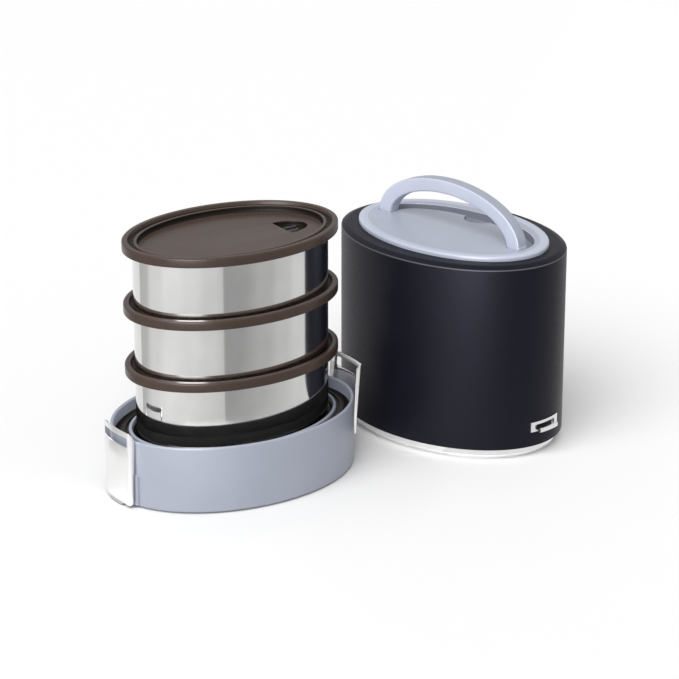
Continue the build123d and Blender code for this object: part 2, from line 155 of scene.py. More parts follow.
def grow(points, amount):
    """A counter-clockwise outline moved outwards by the same distance everywhere."""
    moved = []
    for i, here in enumerate(points):
        along = (points[(i + 1) % len(points)] - points[i - 1]).normalized()
        moved.append(here + Vector((along.y, -along.x)) * amount)
    return moved


def sink(bm, outline, top, floor, edge, root):
    """Walls of a pocket with a rounded edge above and a rounded root below."""
    turns = [math.pi / 2 * k / ARC_STEPS for k in range(ARC_STEPS + 1)]
    loops = []
    for turn in turns:
        z = top - edge * (1 - math.cos(turn))
        loops.append(loop(bm, grow(outline, edge * (1 - math.sin(turn))), z))
    for turn in turns:
        z = floor + root * (1 - math.sin(turn))
        loops.append(loop(bm, grow(outline, -root * (1 - math.cos(turn))), z))
    for above, below in zip(loops, loops[1:]):
        bridge(bm, above, below)
    return loops[0], loops[-1]


def add_block(bm, low, high, rounding):
    """Block with rounded edges between two corners."""
    size = Vector(high) - Vector(low)
    middle = (Vector(high) + Vector(low)) / 2
    place = Matrix.Translation(middle) @ Matrix.Diagonal((*size, 1))
    made = bmesh.ops.create_cube(bm, size=1.0, matrix=place)
    edges = {e for v in made["verts"] for e in v.link_edges}
    bmesh.ops.bevel(bm, geom=list(edges), offset=rounding, segments=3, profile=0.5, affect="EDGES")


def slice_up(bm, axis, cuts):
    """Cut the faces along planes across one axis, so that they can bend there."""
    normal = Vector((1, 0, 0)) if axis == 0 else Vector((0, 1, 0))
    for cut in cuts:
        geom = list(bm.verts) + list(bm.edges) + list(bm.faces)
        bmesh.ops.bisect_plane(bm, geom=geom, plane_co=normal * cut, plane_no=normal)


def steps(low, high, count):
    """Evenly spaced values from low to high, both included."""
    return [low + (high - low) * k / (count - 1) for k in range(count)]


def tone_faces(bm, pick):
    """Gives each face the material whose number is picked for the middle of the face."""
    for face in bm.faces:
        face.material_index = int(pick(face.calc_center_median()))


def in_oval(point, half, inset=0.0):
    """Whether a point lies inside an oval, or inside it by more than an inset."""
    return (point.x / (half[0] - inset)) ** 2 + (point.y / (half[1] - inset)) ** 2 < 1


def piece(name, bm, body, material, *nodes, place=None, tones=()):
    """Turns a millimetre mesh into a named piece that rides on a body."""
    bmesh.ops.recalc_face_normals(bm, faces=bm.faces)
    mesh = bpy.data.meshes.new(name)
    bm.to_mesh(mesh)
    bm.free()
    mesh.transform((place or Matrix.Identity(4)) @ Matrix.Scale(MM, 4))
    mesh.shade_smooth()
    mesh.set_sharp_from_angle(angle=SHARP_ANGLE)
    mesh.materials.append(material)
    for tone in tones:
        mesh.materials.append(tone)
    made = bpy.data.objects.new(name, mesh)
    bpy.context.scene.collection.objects.link(made)
    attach(made, body)
    if nodes:
        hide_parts(*nodes)
    return made


# ---- materials ----
def new_material(slot, **settings):
    """Principled material with constants set on the shader's own sockets."""
    material = bpy.data.materials.new("mat_" + slot)
    material.use_nodes = True
    material["slot"] = slot
    shader = material.node_tree.nodes["Principled BSDF"]
    for name, value in settings.items():
        shader.inputs[name.replace("_", " ")].default_value = value
    return material


def add_node(material, kind, **settings):
    """One node with its inputs or properties set by name."""
    node = material.node_tree.nodes.new("ShaderNode" + kind)
    for name, value in settings.items():
        if name in node.inputs:
            node.inputs[name].default_value = value
        else:
            setattr(node, name, value)
    return node


def noise(material, scale, detail=3.0, stretch=(1, 1, 1)):
    """Noise in the piece's own coordinates; the scale is in waves per metre."""
    link = material.node_tree.links.new
    coordinates = add_node(material, "TexCoord")
    mapping = add_node(material, "Mapping")
    mapping.inputs["Scale"].default_value = stretch
    texture = add_node(material, "TexNoise", Scale=scale, Detail=detail)
    link(coordinates.outputs["Object"], mapping.inputs["Vector"])
    link(mapping.outputs["Vector"], texture.inputs["Vector"])
    return texture.outputs["Fac"]


def cells(material, scale):
    """Cell pattern in the piece's own coordinates."""
    coordinates = add_node(material, "TexCoord")
    texture = add_node(material, "TexVoronoi", Scale=scale)
    material.node_tree.links.new(coordinates.outputs["Object"], texture.inputs["Vector"])
    return texture.outputs["Distance"]


def vary_colour(material, source, low, high, span=(0.3, 0.7)):
    """Base colour that runs between two colours with a pattern."""
    ramp = add_node(material, "ValToRGB")
    ramp.color_ramp.elements[0].position = span[0]
    ramp.color_ramp.elements[1].position = span[1]
    ramp.color_ramp.elements[0].color = (*low, 1)
    ramp.color_ramp.elements[1].color = (*high, 1)
    link = material.node_tree.links.new
    link(source, ramp.inputs["Fac"])
    link(ramp.outputs["Color"], material.node_tree.nodes["Principled BSDF"].inputs["Base Color"])


def vary_roughness(material, source, low, high):
    """Roughness that runs between two values with a pattern."""
    spread = add_node(material, "MapRange")
    spread.inputs["From Min"].default_value = 0.3
    spread.inputs["From Max"].default_value = 0.7
    spread.inputs["To Min"].default_value = low
    spread.inputs["To Max"].default_value = high
    link = material.node_tree.links.new
    link(source, spread.inputs["Value"])
    link(spread.outputs["Result"], material.node_tree.nodes["Principled BSDF"].inputs["Roughness"])


def add_bump(material, sources, strength, distance):
    """Surface height from one or more patterns, each bump on top of the last."""
    link = material.node_tree.links.new
    below = None
    for source in sources:
        bump = add_node(material, "Bump", Strength=strength, Distance=distance)
        link(source, bump.inputs["Height"])
        if below:
            link(below.outputs["Normal"], bump.inputs["Normal"])
        below = bump
    link(below.outputs["Normal"], material.node_tree.nodes["Principled BSDF"].inputs["Normal"])


def scaled(colour, share):
    """The colour made lighter or darker by a share."""
    return tuple(min(1.0, c * share) for c in colour)


def moulded(slot, colour, roughness, grain, variation=0.05, coat=0.0, gloss=0.45):
    """Moulded plastic or rubber: faint mottling, fine surface grain, uneven gloss."""
    material = new_material(slot, Specular_IOR_Level=gloss, Coat_Weight=coat, Coat_Roughness=0.16)
    broad = noise(material, 28.0)
    fine = noise(material, grain, detail=2.0)
    vary_colour(material, broad, scaled(colour, 1 - variation), scaled(colour, 1 + variation))
    vary_roughness(material, fine, roughness - 0.06, roughness + 0.06)
    add_bump(material, [fine, broad], 0.25, 0.00004)
    return material


def lavender_plastic(tone):
    """Satin lavender-blue polypropylene, in a lighter or darker tone. The lighter and darker copies stand in for
    light: painted highlight and painted shade.
    """
    colour = scaled((0.345, 0.369, 0.445), tone)
    return moulded("lavender_plastic", colour, 0.38, 1900.0, variation=0.03, coat=0.15)


def brown_plastic(colour, roughness, gloss):
    """Satin dark brown polypropylene."""
    return moulded("brown_plastic", colour, roughness, 1500.0, variation=0.08, gloss=gloss)


def dark_rubber():
    """Smooth black-brown seal rubber."""
    return moulded("dark_rubber", (0.012, 0.009, 0.0075), 0.38, 1100.0, variation=0.10, gloss=0.2)


def navy_paint(lift=0.0):
    """Near-black navy powder coat: orange peel and fine specks. A lift makes all of it lighter, for a painted
    highlight.
    """
    material = new_material("navy_paint", Specular_IOR_Level=0.20, Specular_Tint=(0.84, 0.84, 1.0, 1.0))
    peel = noise(material, 900.0, detail=2.0)
    specks = noise(material, 4200.0, detail=1.0)
    dark, light = (0.0010, 0.0010, 0.0045), (0.0060, 0.0060, 0.0130)
    vary_colour(material, specks, [c + lift for c in dark], [c + lift for c in light], span=(0.45, 0.75))
    vary_roughness(material, peel, 0.36, 0.50)
    add_bump(material, [peel], 0.35, 0.00005)
    return material


def steel(colour, smooth, rough):
    """Stainless steel with faint drawn streaks, polished or satin."""
    material = new_material("steel", Metallic=1.0)
    streaks = noise(material, 260.0, stretch=(0.35, 0.35, 9.0))
    clouds = noise(material, 34.0)
    vary_colour(material, clouds, scaled(colour, 0.95), scaled(colour, 1.05))
    vary_roughness(material, streaks, smooth, rough)
    add_bump(material, [streaks], 0.05, 0.00002)
    return material


def foam():
    """Closed-cell insulating foam."""
    material = new_material("foam", Specular_IOR_Level=0.2)
    bubbles = cells(material, 700.0)
    vary_colour(material, bubbles, (0.70, 0.67, 0.56), (0.86, 0.84, 0.74), span=(0.0, 0.6))
    vary_roughness(material, bubbles, 0.80, 0.95)
    add_bump(material, [bubbles], 0.6, 0.0004)
    return material


MATERIALS = {
    "lavender_plastic": lavender_plastic(0.76),
    "navy_paint": navy_paint(),
    "brown_plastic": brown_plastic((0.046, 0.030, 0.024), 0.28, 0.19),
    "dark_rubber": dark_rubber(),
    "silicone": moulded("silicone", (0.020, 0.019, 0.020), 0.42, 1300.0),
    "steel": steel((0.70, 0.695, 0.69), 0.05, 0.12),
    "foam": foam(),
}
LAVENDER = MATERIALS["lavender_plastic"]
# Lighter and darker copies of the lavender, the navy paint and the brown, for painted highlight and painted shade
# on some faces.
LIT_HANDLE_LAVENDER = lavender_plastic(1.20)
HIGHLIGHT_NAVY = navy_paint(lift=0.06)
LIT_BORDER_LAVENDER = lavender_plastic(1.0)
PANEL_LAVENDER = lavender_plastic(0.80)
LIT_RIM_LAVENDER = lavender_plastic(1.5)
SHADED_BED_LAVENDER = lavender_plastic(0.56)
SHADED_TOP_LAVENDER = lavender_plastic(0.70)
SHADE_BROWN = brown_plastic((0.008, 0.006, 0.005), 0.45, 0.1)
BRIGHT_STEEL = steel((0.88, 0.875, 0.87), 0.14, 0.24)
BROWN = MATERIALS["brown_plastic"]
RUBBER = MATERIALS["dark_rubber"]
STEEL = MATERIALS["steel"]


def dress_cad_nodes():
    """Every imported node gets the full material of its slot."""
    slots = {row["node"]: row["material_slot"] for row in frame["record"]["subparts"]}
    for name, node in frame["nodes"].items():
        node.data.materials.clear()
        bright = name.startswith(("catch", "clip"))
        node.data.materials.append(BRIGHT_STEEL if bright else MATERIALS[slots[name]])


# ---- base ----
SHELL_WALL = 2.5
SHELL_FLOOR = 2.6
FOOT_INSET = 2.6        # the wall ends above the table, over a foot that is set in
FOOT_GAP = 1.1
PAD_HALF = 19.6         # moulded pad on the end wall, behind a clip
PAD_LOW = 1.6
PAD_HIGH = 25.0
PAD_PROUD = 0.9
PAD_EDGE = 0.7
PAD_ROOT = -0.6         # its sides run into the wall
RIDGE_HEIGHT = 2.0      # ridge of the seal
BOWL_SHEET = 0.8


def wall_x(y):
    """Distance from the middle to the oval end wall, at one y."""
    return SHELL[0] * math.sqrt(1 - (y / SHELL[1]) ** 2)


def add_clip_pad(bm, side):
    """Low moulded pad on the end wall: made flat, then laid on the oval."""
    corners = [
        (-PAD_HALF, PAD_LOW, 1.5), (PAD_HALF, PAD_LOW, 1.5),
        (PAD_HALF, PAD_HIGH, 3.0), (-PAD_HALF, PAD_HIGH, 3.0),
    ]
    outline = grow(fillet_path(corners, closed=True), -PAD_EDGE)
    flat = bmesh.new()
    top, _ = sink(flat, outline, PAD_PROUD, PAD_ROOT, -PAD_EDGE, 0.0)
    fill(flat, top)
    slice_up(flat, 0, steps(1 - PAD_HALF, PAD_HALF - 1, 27))
    for v in flat.verts:
        y, z, out = v.co
        v.co = (side * (wall_x(y) + out), side * y, z)
    part = bpy.data.meshes.new("pad")
    flat.to_mesh(part)
    flat.free()
    bm.from_mesh(part)
    bpy.data.meshes.remove(part)


def make_base_shell():
    """Moulded tub with a rounded rim, a foot that is set in, and a pad behind each clip."""
    low, high = box_mm("base_outer_shell")
    path = fillet_path([
        (12.0, low.z, 0), (FOOT_INSET, low.z, 0.3), (FOOT_INSET, low.z + FOOT_GAP, 0.2),
        (0, low.z + FOOT_GAP, 1.3), (0, high.z, 1.15), (SHELL_WALL, high.z, 1.15),
        (SHELL_WALL, SHELL_FLOOR, 2.0), (14.0, SHELL_FLOOR, 0),
    ])
    bm = bmesh.new()
    for end in sweep(bm, SHELL, path):
        bm.faces.new(end)
    for side in (-1, 1):
        add_clip_pad(bm, side)
    # The inside face of the rim wall gets a lighter copy of the lavender: painted light on a face that the
    # containers shade.
    tone_faces(bm, lambda middle: middle.z > SHELL_FLOOR and in_oval(middle, SHELL, SHELL_WALL - 0.4))
    piece("base_shell", bm, "base", LAVENDER, "base_outer_shell", tones=[LIT_RIM_LAVENDER])


def closed_ring(name, half, corners, body, material, *nodes, place=None):
    """Ring of one closed section, swept round an oval."""
    path = fillet_path(corners, closed=True)
    bm = bmesh.new()
    first, last = sweep(bm, half, path)
    bridge(bm, last, first)
    return piece(name, bm, body, material, *nodes, place=place)


def make_base_seal():
    """Seal with its rounded ridge."""
    low, high = box_mm("base_seal_ring")
    floor = high.z - RIDGE_HEIGHT
    inner = SEAL[0] - LIP[0]
    closed_ring("base_seal", SEAL, [
        (0, low.z, 0.2), (0, floor, 0.2), (3.7, floor, 0.5), (3.7, high.z, 1.4),
        (8.1, high.z, 1.4), (8.1, floor, 0.5), (inner, floor, 0.2), (inner, low.z, 0.2),
    ], "base", RUBBER, "base_seal_ring")


def make_base_lip():
    """Pale lip ring between the seal and the bowl."""
    low, high = box_mm("base_lip_ring")
    closed_ring("base_lip", LIP, [
        (0, low.z, 0.3), (0, high.z, 0.9), (2.5, high.z, 0.9), (2.5, low.z, 0.3),
    ], "base", LAVENDER, "base_lip_ring")


def make_bowl():
    """Steel bowl in the base, a single sheet with a cut edge."""
    low, high = box_mm("base_bowl")
    path = fillet_path([
        (12.0, low.z, 0), (0, low.z, 3.0), (0, high.z, 0.35), (BOWL_SHEET, high.z, 0.35),
        (BOWL_SHEET, low.z + BOWL_SHEET, 2.2), (12.0, low.z + BOWL_SHEET, 0),
    ])
    bm = bmesh.new()
    for end in sweep(bm, BOWL, path):
        bm.faces.new(end)
    piece("bowl", bm, "base", STEEL, "base_bowl")


# ---- clips ----
FACE_R = 99.6           # middle of the curved sheet
BEND_R = 1.0
FACE_HALF = 15.4
FACE_TURN = math.asin(FACE_HALF / FACE_R)
FLANGE_Y = FACE_R * FACE_TURN
BEND_END = FLANGE_Y + BEND_R * (math.pi / 2 - FACE_TURN)
CLIP_SHEET = 0.8
CLIP_LOW = 1.2
CLIP_HIGH = 55.0
WINDOW_LOW = 44.4
WINDOW_HIGH = 51.4
WINDOW_HALF = 14.6
PIN_HEIGHT = 13.8       # the pin's axis, above the plate's lower edge
PLATE_OUT = 2.2         # middle of the sheet, outwards from the pin's axis
LIP_Z = 4.2             # below this the sheet curls outwards for a finger
LIP_CURL = 1.2
LIP_HALF = 12.5
LIP_FADE = 4.5
CLIP_LEAN = {"left": 0.0, "right": 5.0}


def bent(s):
    """Outward distance and y of a point at arc length s across the clip's sheet."""
    side = -1 if s < 0 else 1
    s = abs(s)
    turn = min(s, FLANGE_Y) / FACE_R
    out = FACE_R * math.cos(turn) - FACE_R
    y = FACE_R * math.sin(turn)
    if s > FLANGE_Y:
        more = min(s - FLANGE_Y, BEND_END - FLANGE_Y) / BEND_R
        out += BEND_R * (math.cos(turn + more) - math.cos(turn))
        y += BEND_R * (math.sin(turn + more) - math.sin(turn))
    return out - max(0.0, s - BEND_END), side * y


def clip_outline():
    """Flat outline of the clip: flanges that widen upwards and a waved lower edge."""
    right = [
        (7.0, CLIP_LOW, 1.5), (10.5, CLIP_LOW + 1.5, 1.5), (14.0, CLIP_LOW + 0.7, 1.5),
        (BEND_END + 1.2, CLIP_LOW + 1.6, 1.0), (BEND_END + 1.7, CLIP_LOW + 4.0, 1.0),
        (BEND_END + 3.2, CLIP_HIGH - 14.0, 4.0), (BEND_END + 3.2, CLIP_HIGH - 4.4, 1.0),
        (BEND_END + 1.2, CLIP_HIGH - 1.4, 1.0), (BEND_END - 1.2, CLIP_HIGH, 1.0),
    ]
    left = [(-x, z, r) for x, z, r in reversed(right)]
    return fillet_path(right + left, closed=True)


def clip_window():
    """Flat outline of the window, with rounded corners."""
    half = FACE_R * math.asin(WINDOW_HALF / FACE_R)
    corners = [(-half, WINDOW_LOW), (half, WINDOW_LOW), (half, WINDOW_HIGH), (-half, WINDOW_HIGH)]
    return fillet_path([(x, z, 1.3) for x, z in corners], closed=True)


def finger_curl(s, z):
    """How far the finger lip curls out, at arc length s and height z."""
    share = max(0.0, (LIP_Z - z) / (LIP_Z - CLIP_LOW)) ** 2
    return LIP_CURL * share * max(0.0, min(1.0, (LIP_HALF - abs(s)) / LIP_FADE))


def clip_sheet():
    """Mesh of the clip's sheet: cut out flat, with its window, then bent."""
    bm = bmesh.new()
    fill(bm, loop(bm, clip_outline(), 0), loop(bm, clip_window(), 0))
    bends = steps(FLANGE_Y, BEND_END, 7)[1:]
    slice_up(bm, 0, steps(-FLANGE_Y, FLANGE_Y, 25))
    slice_up(bm, 0, [sign * s for sign in (-1, 1) for s in bends])
    slice_up(bm, 1, steps(CLIP_LOW + 0.4, LIP_Z, 7))
    for v in bm.verts:
        s, z, _ = v.co
        out, y = bent(s)
        v.co = (PLATE_OUT + out + finger_curl(s, z), y, z - CLIP_LOW - PIN_HEIGHT)
    bmesh.ops.dissolve_degenerate(bm, dist=1e-4, edges=bm.edges)
    return bm


def clip_ears():
    """Mesh of the two ears that hold the plate's pin."""
    bm = bmesh.new()
    for y in (-7.6, 6.6):
        add_block(bm, (-1.0, y, -1.0), (2.4, y + 1.0, 1.0), 0.3)
    return bm


def make_clip(name, facing):
    """Pressed steel clip plate, curved across, with ears for its pin."""
    pivot = Vector(joint(f"clip_{name}_turn")["pos_m"])
    place = Matrix.Translation(pivot) @ Matrix.Rotation(facing, 4, "Z")
    place = place @ Matrix.Rotation(math.radians(CLIP_LEAN[name]), 4, "Y")
    body = f"clip_{name}"
    plate = piece(f"clip_{name}_plate", clip_sheet(), body, BRIGHT_STEEL, f"clip_plate_{name}", place=place)
    sheet = plate.modifiers.new("sheet", "SOLIDIFY")
    sheet.thickness = CLIP_SHEET * MM
    sheet.offset = 0
    rounding = plate.modifiers.new("rounding", "BEVEL")
    rounding.width = 0.18 * MM
    rounding.segments = 2
    rounding.limit_method = "ANGLE"
    rounding.angle_limit = math.radians(60)
    piece(f"clip_{name}_ears", clip_ears(), body, BRIGHT_STEEL, place=place)


# ---- containers and lids ----
SHEET = 0.6
FOOT_HEIGHT = 4.3       # nesting foot, which stands in the tray of the lid below
FOOT_IN = 4.4
MOUTH_DEPTH = 3.0
TRAY_DEPTH = 5.5        # depths below the top of a lid's rim
CHANNEL_DEPTH = 2.2
RIDGE_DEPTH = 1.3
SEAT_DEPTH = 3.4        # where the lid's seal sits, on the underside
SKIRT_DEPTH = 6.4
UNDER_DEPTH = 6.5
TRAY_IN = 10.4
POCKET_DEPTH = 3.0      # vent pocket, below the tray
VENT_X = 38.5
VENT_Y = -3.7
VENT_LONG = 19.5
VENT_HALF = 12.4
CUP_WALL = 1.0
HOLE = (46.0, -3.7)
HOLE_R = 2.5
PLUG_R = 5.4
PLUG_PLAY = 0.3


def make_container(number):
    """Drawn steel container: nesting foot, wall and stepped mouth."""
    low, high = box_mm(f"container_{number}")
    wall_low = low.z + FOOT_HEIGHT
    step = high.z - MOUTH_DEPTH
    path = fillet_path([
        (18.0, low.z, 0), (FOOT_IN, low.z, 2.2), (FOOT_IN, wall_low, 0.5), (0, wall_low, 1.5),
        (0, step, 0.7), (-MOUTH_STEP, step, 0.7), (-MOUTH_STEP, high.z, 0.25),
        (SHEET - MOUTH_STEP, high.z, 0.25), (SHEET - MOUTH_STEP, step + SHEET, 0.4),
        (SHEET, step + SHEET, 0.4), (SHEET, wall_low + SHEET, 1.0),
        (FOOT_IN + SHEET, wall_low + SHEET, 0.5), (FOOT_IN + SHEET, low.z + SHEET, 1.7),
        (18.0, low.z + SHEET, 0),
    ])
    bm = bmesh.new()
    for end in sweep(bm, CAN, path):
        bm.faces.new(end)
    piece(f"steel_container_{number}", bm, f"container_{number}", STEEL, f"container_{number}")


def vent_outline():
    """Half oval of the vent pocket, straight side towards the middle of the lid."""
    turns = steps(-math.pi / 2, math.pi / 2, 41)[3:-3]
    arc = [(VENT_X + VENT_LONG * math.cos(t), VENT_Y + VENT_HALF * math.sin(t), 0) for t in turns]
    corners = [(VENT_X, VENT_Y - VENT_HALF, 1.6), *arc, (VENT_X, VENT_Y + VENT_HALF, 1.6)]
    return fillet_path(corners, closed=True)


def in_lid_hollow(point, top, floor):
    """Whether a point is in the rim channel, on the wall of the tray or in the vent pocket."""
    if in_oval(point, LID, 4.1) and not in_oval(point, LID, 7.9):
        return top - CHANNEL_DEPTH - 0.2 < point.z < top - RIDGE_DEPTH - 0.2
    if in_oval(point, LID, TRAY_IN - 0.2) and not in_oval(point, LID, 12.3):
        return floor + 0.4 < point.z < top - RIDGE_DEPTH - 0.2
    along = abs(point.x - VENT_X - VENT_LONG / 2) < VENT_LONG / 2 + 0.5
    across = abs(point.y - VENT_Y) < VENT_HALF + 0.5
    return along and across and point.z < floor - 0.5


def lid_section(top):
    """Section of a lid from the tray's floor over the rim to the underside."""
    floor = top - TRAY_DEPTH
    channel = top - CHANNEL_DEPTH
    ridge = top - RIDGE_DEPTH
    seat = top - SEAT_DEPTH
    skirt = top - SKIRT_DEPTH
    under = top - UNDER_DEPTH
    return fillet_path([
        (20.0, floor, 0), (TRAY_IN, floor, 2.3), (TRAY_IN, ridge, 0.45), (8.2, ridge, 0.3),
        (7.8, channel, 0.2), (4.7, channel, 0.3), (3.9, top, 0.4), (0, top, 1.1),
        (0, skirt, 0.4), (2.0, skirt, 0.4), (2.0, seat, 0.3), (9.4, seat, 0.3),
        (9.4, under, 2.6), (20.0, under, 0),
    ])


def make_lid(number):
    """Moulded lid: rounded rim, channel, low ridge, sunk tray and vent pocket."""
    low, high = box_mm(f"lid_{number}")
    top = high.z
    floor = top - TRAY_DEPTH
    bottom = floor - POCKET_DEPTH
    bm = bmesh.new()
    above, below = sweep(bm, LID, lid_section(top))
    outline = vent_outline()
    edge, root = sink(bm, outline, floor, bottom, 0.4, 0.6)
    fill(bm, above, edge)
    hole_top = loop(bm, oval_points((HOLE_R, HOLE_R), 32, HOLE), bottom)
    fill(bm, root, hole_top)
    cup = [loop(bm, grow(outline, CUP_WALL), z) for z in (top - UNDER_DEPTH, low.z)]
    bridge(bm, *cup)
    fill(bm, below, cup[0])
    hole_low = loop(bm, oval_points((HOLE_R, HOLE_R), 32, HOLE), low.z)
    fill(bm, cup[1], hole_low)
    bridge(bm, hole_top, hole_low)
    # The rim channel, the tray's wall and the vent pocket get a near-black brown: painted shade in the hollows.
    tone_faces(bm, lambda middle: in_lid_hollow(middle, top, floor))
    piece(f"moulded_lid_{number}", bm, f"lid_{number}", BROWN, f"lid_{number}", tones=[SHADE_BROWN])


def make_vent_plug():
    """Silicone plug in the top lid's pocket, with a pull tab."""
    low, high = box_mm("vent_plug_3")
    seat = high.z - 2.5
    stem = PLUG_R - HOLE_R + PLUG_PLAY
    path = fillet_path([
        (stem + 1.5, low.z, 0), (stem, low.z, 0.4), (stem, seat, 0.2), (0, seat, 0.3),
        (0, seat + 1.0, 0.5), (3.6, seat + 1.2, 0),
    ])
    bm = bmesh.new()
    for end in sweep(bm, (PLUG_R, PLUG_R), path, centre=HOLE):
        bm.faces.new(end)
    x, y = HOLE
    add_block(bm, (x - 4.4, y - 1.1, seat + 0.8), (x + 4.4, y + 1.1, seat + 2.5), 0.5)
    piece("vent_plug", bm, "vent_plug", MATERIALS["silicone"], "vent_plug_3")


# ---- cover ----
OPENING = 18.5          # the deck reaches this far in, under the panel
COVER_WALL = 2.2
DECK = 2.4
SHOULDER = 2.2          # the upright wall ends this far below the deck
RING_HALF = (SHELL[0] - 4.4, SHELL[1] - 3.8)
RING_FLANGE = -2.2      # the ring's upper edge reaches out to the inside of the wall
PANEL = (78.8, 52.2)
PANEL_HEIGHT = 3.6      # above the deck
FIELD_DEPTH = 0.35      # depths below the top of the panel's border
BED_DEPTH = 6.8
ARCH_OUT = (67.4, 35.9)   # half axes of the handle's outer oval
ARCH_IN = (56.2, 27.2)
ARCH_OUT_RISE = 2.2       # oval centres, above the pivot
ARCH_IN_RISE = 0.8
HANDLE_FRONT = 6.0        # sides of the handle, from the pivot
HANDLE_BACK = 3.4
HANDLE_ROUNDING = 1.3
BED_GAP = 0.6
NOTCH_Y = 30.0
NOTCH_R = 12.0


def make_cover_shell():
    """Painted outer wall with a sloping shoulder and the deck round the panel."""
    low, high = box_mm("cover_outer_shell")
    path = fillet_path([
        (COVER_WALL, low.z, 0.5), (0, low.z, 0.6), (0, high.z - SHOULDER, 1.0), (4.6, high.z, 5.0),
        (OPENING, high.z, 0.2), (OPENING, high.z - DECK, 0.2), (COVER_WALL, high.z - DECK, 1.5),
    ], closed=True)
    bm = bmesh.new()
    first, last = sweep(bm, SHELL, path)
    bridge(bm, last, first)
    # A band along the shoulder's lower edge gets a lighter navy: a painted highlight line.
    highlight_low = high.z - SHOULDER - 0.4
    highlight_high = high.z - SHOULDER + 0.3
    tone_faces(bm, lambda middle: highlight_low < middle.z < highlight_high and not in_oval(middle, SHELL, 1.0))
    navy = MATERIALS["navy_paint"]
    piece("cover_shell", bm, "cover", navy, "cover_outer_shell", place=COVER_PLACE, tones=[HIGHLIGHT_NAVY])


def make_cover_ring():
    """Steel spigot ring below the painted wall, with a rolled edge over a foot that is set in."""
    low, high = box_mm("cover_rim_ring")
    flange = high.z - 1.0
    rolled = low.z + 1.3
    closed_ring("cover_ring", RING_HALF, [
        (1.6, low.z, 0.3), (1.6, rolled, 0.2), (0, rolled, 1.1), (0, flange, 0.4),
        (RING_FLANGE, flange, 0.3), (RING_FLANGE, high.z, 0.3), (1.2, high.z, 0.3), (1.2, low.z + 2.6, 0.5),
        (2.9, low.z + 1.9, 0.5), (2.9, low.z, 0.3),
    ], "cover", BRIGHT_STEEL, "cover_rim_ring", place=COVER_PLACE)


def arch_points(half, rise, turns):
    """Sharp corners along an oval whose centre is raised along Y."""
    return [(half[0] * math.cos(t), rise + half[1] * math.sin(t), 0) for t in turns]


def bed_outline():
    """Outline of the handle's bed, with the finger notch in its inner side."""
    outer_half = (ARCH_OUT[0] + BED_GAP, ARCH_OUT[1] + BED_GAP)
    inner_half = (ARCH_IN[0] - BED_GAP, ARCH_IN[1] - BED_GAP)
    front = -HANDLE_FRONT - 0.5
    outer = arch_points(outer_half, ARCH_OUT_RISE, steps(0, math.pi, 121))
    inner = arch_points(inner_half, ARCH_IN_RISE, steps(math.pi, 0, 121))
    clear = [p for p in inner if math.hypot(p[0], p[1] - NOTCH_Y) > NOTCH_R + 0.6]
    left = [p for p in clear if p[0] < 0]
    right = [p for p in clear if p[0] > 0]
    reach = math.asin((NOTCH_Y - left[-1][1] - 0.3) / NOTCH_R)
    notch = arch_points((NOTCH_R, NOTCH_R), NOTCH_Y, steps(math.pi + reach, 2 * math.pi - reach, 33))
    into_notch = (notch[0][0] - 0.4, left[-1][1] + 0.25, 0)
    out_of_notch = (notch[-1][0] + 0.4, right[0][1] + 0.25, 0)
    corners = [(outer_half[0], front, 1.6), *outer, (-outer_half[0], front, 1.6)]
    corners += [(-inner_half[0], front, 1.2), *left, into_notch, *notch]
    corners += [out_of_notch, *right, (inner_half[0], front, 1.2)]
    return fillet_path(corners, closed=True)


def panel_tone(point, field):
    """0 on the panel's border, 1 on its field and 2 in the bed. The border's tone is lighter than the field's, a
    painted highlight; the bed's is darker, painted shade.
    """
    if not in_oval(point, PANEL, 6.4) or point.z < field - BED_DEPTH:
        return 0
    return 1 if abs(point.z - field) < 0.05 else 2 * (point.z < field - 0.5)


def make_panel():
    """Panel on the cover: raised border, bed for the folded handle, finger notch."""
    low, high = box_mm("cover_top_panel")
    top = high.z
    deck = top - PANEL_HEIGHT
    field = top - FIELD_DEPTH
    path = fillet_path([
        (6.6, field, 0), (5.4, field, 0.3), (4.6, top, 0.5), (0, top, 1.8), (0, deck, 0.2),
        (7.2, deck, 0.3), (7.2, low.z, 0.8), (16.0, low.z, 0),
    ])
    bm = bmesh.new()
    border, under = sweep(bm, PANEL, path)
    edge, root = sink(bm, bed_outline(), field, top - BED_DEPTH, 0.7, 0.8)
    fill(bm, border, edge)
    fill(bm, root)
    bm.faces.new(under)
    # Painted light: the border is a lighter lavender than the field and the bed a darker one, standing in for
    # highlight and shade.
    tone_faces(bm, lambda middle: panel_tone(middle, field))
    tones = [PANEL_LAVENDER, SHADED_BED_LAVENDER]
    piece("top_panel", bm, "cover", LIT_BORDER_LAVENDER, "cover_top_panel", place=COVER_PLACE, tones=tones)


def handle_section(bm, share, z_in, z_out, front, back):
    """Rounded section of the handle, at a share of the arch's half length from its middle."""
    inner = Vector((ARCH_IN[0] * share, z_in))
    outer = Vector((ARCH_OUT[0] * share, z_out))
    width = (outer - inner).length
    across = (outer - inner).normalized()
    radius = min(HANDLE_ROUNDING, 0.49 * (back - front), 0.49 * width)
    corners = [(0, front, radius), (width, front, radius), (width, back, radius), (0, back, radius)]
    points = fillet_path(corners, closed=True)
    return [bm.verts.new((inner.x + across.x * p.x, p.y, inner.y + across.y * p.x)) for p in points]


def on_handle_top(point):
    """Whether a point is on the outer face of the handle's arch."""
    rise = PIVOT_Z + ARCH_OUT_RISE
    return point.z > rise + 2.0 and not in_oval(Vector((point.x, point.z - rise)), ARCH_OUT, 0.4)


